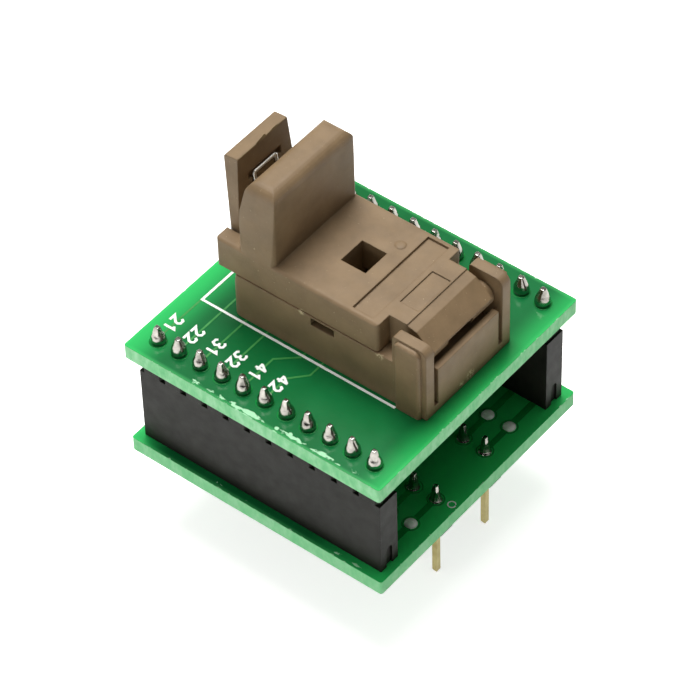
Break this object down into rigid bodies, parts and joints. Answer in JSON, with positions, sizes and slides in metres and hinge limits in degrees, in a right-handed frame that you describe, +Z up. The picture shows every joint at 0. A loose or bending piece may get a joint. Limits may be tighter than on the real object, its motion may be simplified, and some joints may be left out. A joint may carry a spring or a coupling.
{
  "type": "zif socket",
  "caption": "Hinged-lid zero-insertion-force test socket with a pinch latch, on two stacked adapter boards joined by pin headers, with plug-in pins below.",
  "frame": {"origin": "middle of the footprint, at the tips of the plug-in pins", "axes": "+X along the pin rows towards the lid's hinge, +Y towards the back row, +Z up through the boards to the thumb block"},
  "size_m": [0.03, 0.03, 0.0402],
  "materials": {
    "circuit_board": "green solder mask on glass-epoxy laminate",
    "black_moulding": "satin moulded PBT",
    "gold_pins": "gold-flashed drawn brass",
    "gold_contacts": "gold-plated spring sheet",
    "solder": "bright reflowed solder",
    "socket_plastic": "fine matte moulded brown plastic",
    "nest_plastic": "fine matte moulded brown plastic",
    "steel": "drawn stainless steel"
  },
  "bodies": {
    "lower": {"lower_board": "circuit_board", "dip_strip_front": "black_moulding", "dip_strip_back": "black_moulding", "dip_pins_front": "gold_pins", "dip_pins_back": "gold_pins", "dip_solder_front": "solder", "dip_solder_back": "solder", "spare_solder": "solder", "socket_strip_front": "black_moulding", "socket_strip_back": "black_moulding", "strip_contacts_front": "gold_contacts", "strip_contacts_back": "gold_contacts", "strip_solder_front": "solder", "strip_solder_back": "solder"},
    "upper": {"upper_board": "circuit_board", "header_strip_front": "black_moulding", "header_strip_back": "black_moulding", "header_pins_front": "gold_pins", "header_pins_back": "gold_pins", "header_solder_front": "solder", "header_solder_back": "solder", "socket_base": "socket_plastic", "contact_nest": "nest_plastic", "force_contacts": "gold_contacts", "sense_contacts": "gold_contacts", "contact_solder": "solder", "hinge_pin": "steel", "lid_spring": "steel"},
    "lid": {"lid": "socket_plastic", "lid_spring_leg": "steel", "latch_pin": "steel"},
    "latch": {"latch": "socket_plastic", "latch_spring": "steel"}
  },
  "joints": [
    {"name": "board_unplug", "type": "slide", "parent": "lower", "child": "upper", "axis": [0, 0, 1], "range_m": [0, 0.008]},
    {"name": "lid_hinge", "type": "hinge", "parent": "upper", "child": "lid", "pos_m": [0.0109, 0.00065, 0.02908], "axis": [0, 1, 0], "range_deg": [0, 100]},
    {"name": "latch_pivot", "type": "hinge", "parent": "lid", "child": "latch", "pos_m": [-0.01005, 0.00065, 0.03018], "axis": [0, 1, 0], "range_deg": [0, 10], "stiffness_Nm_per_rad": 0.02}
  ]
}
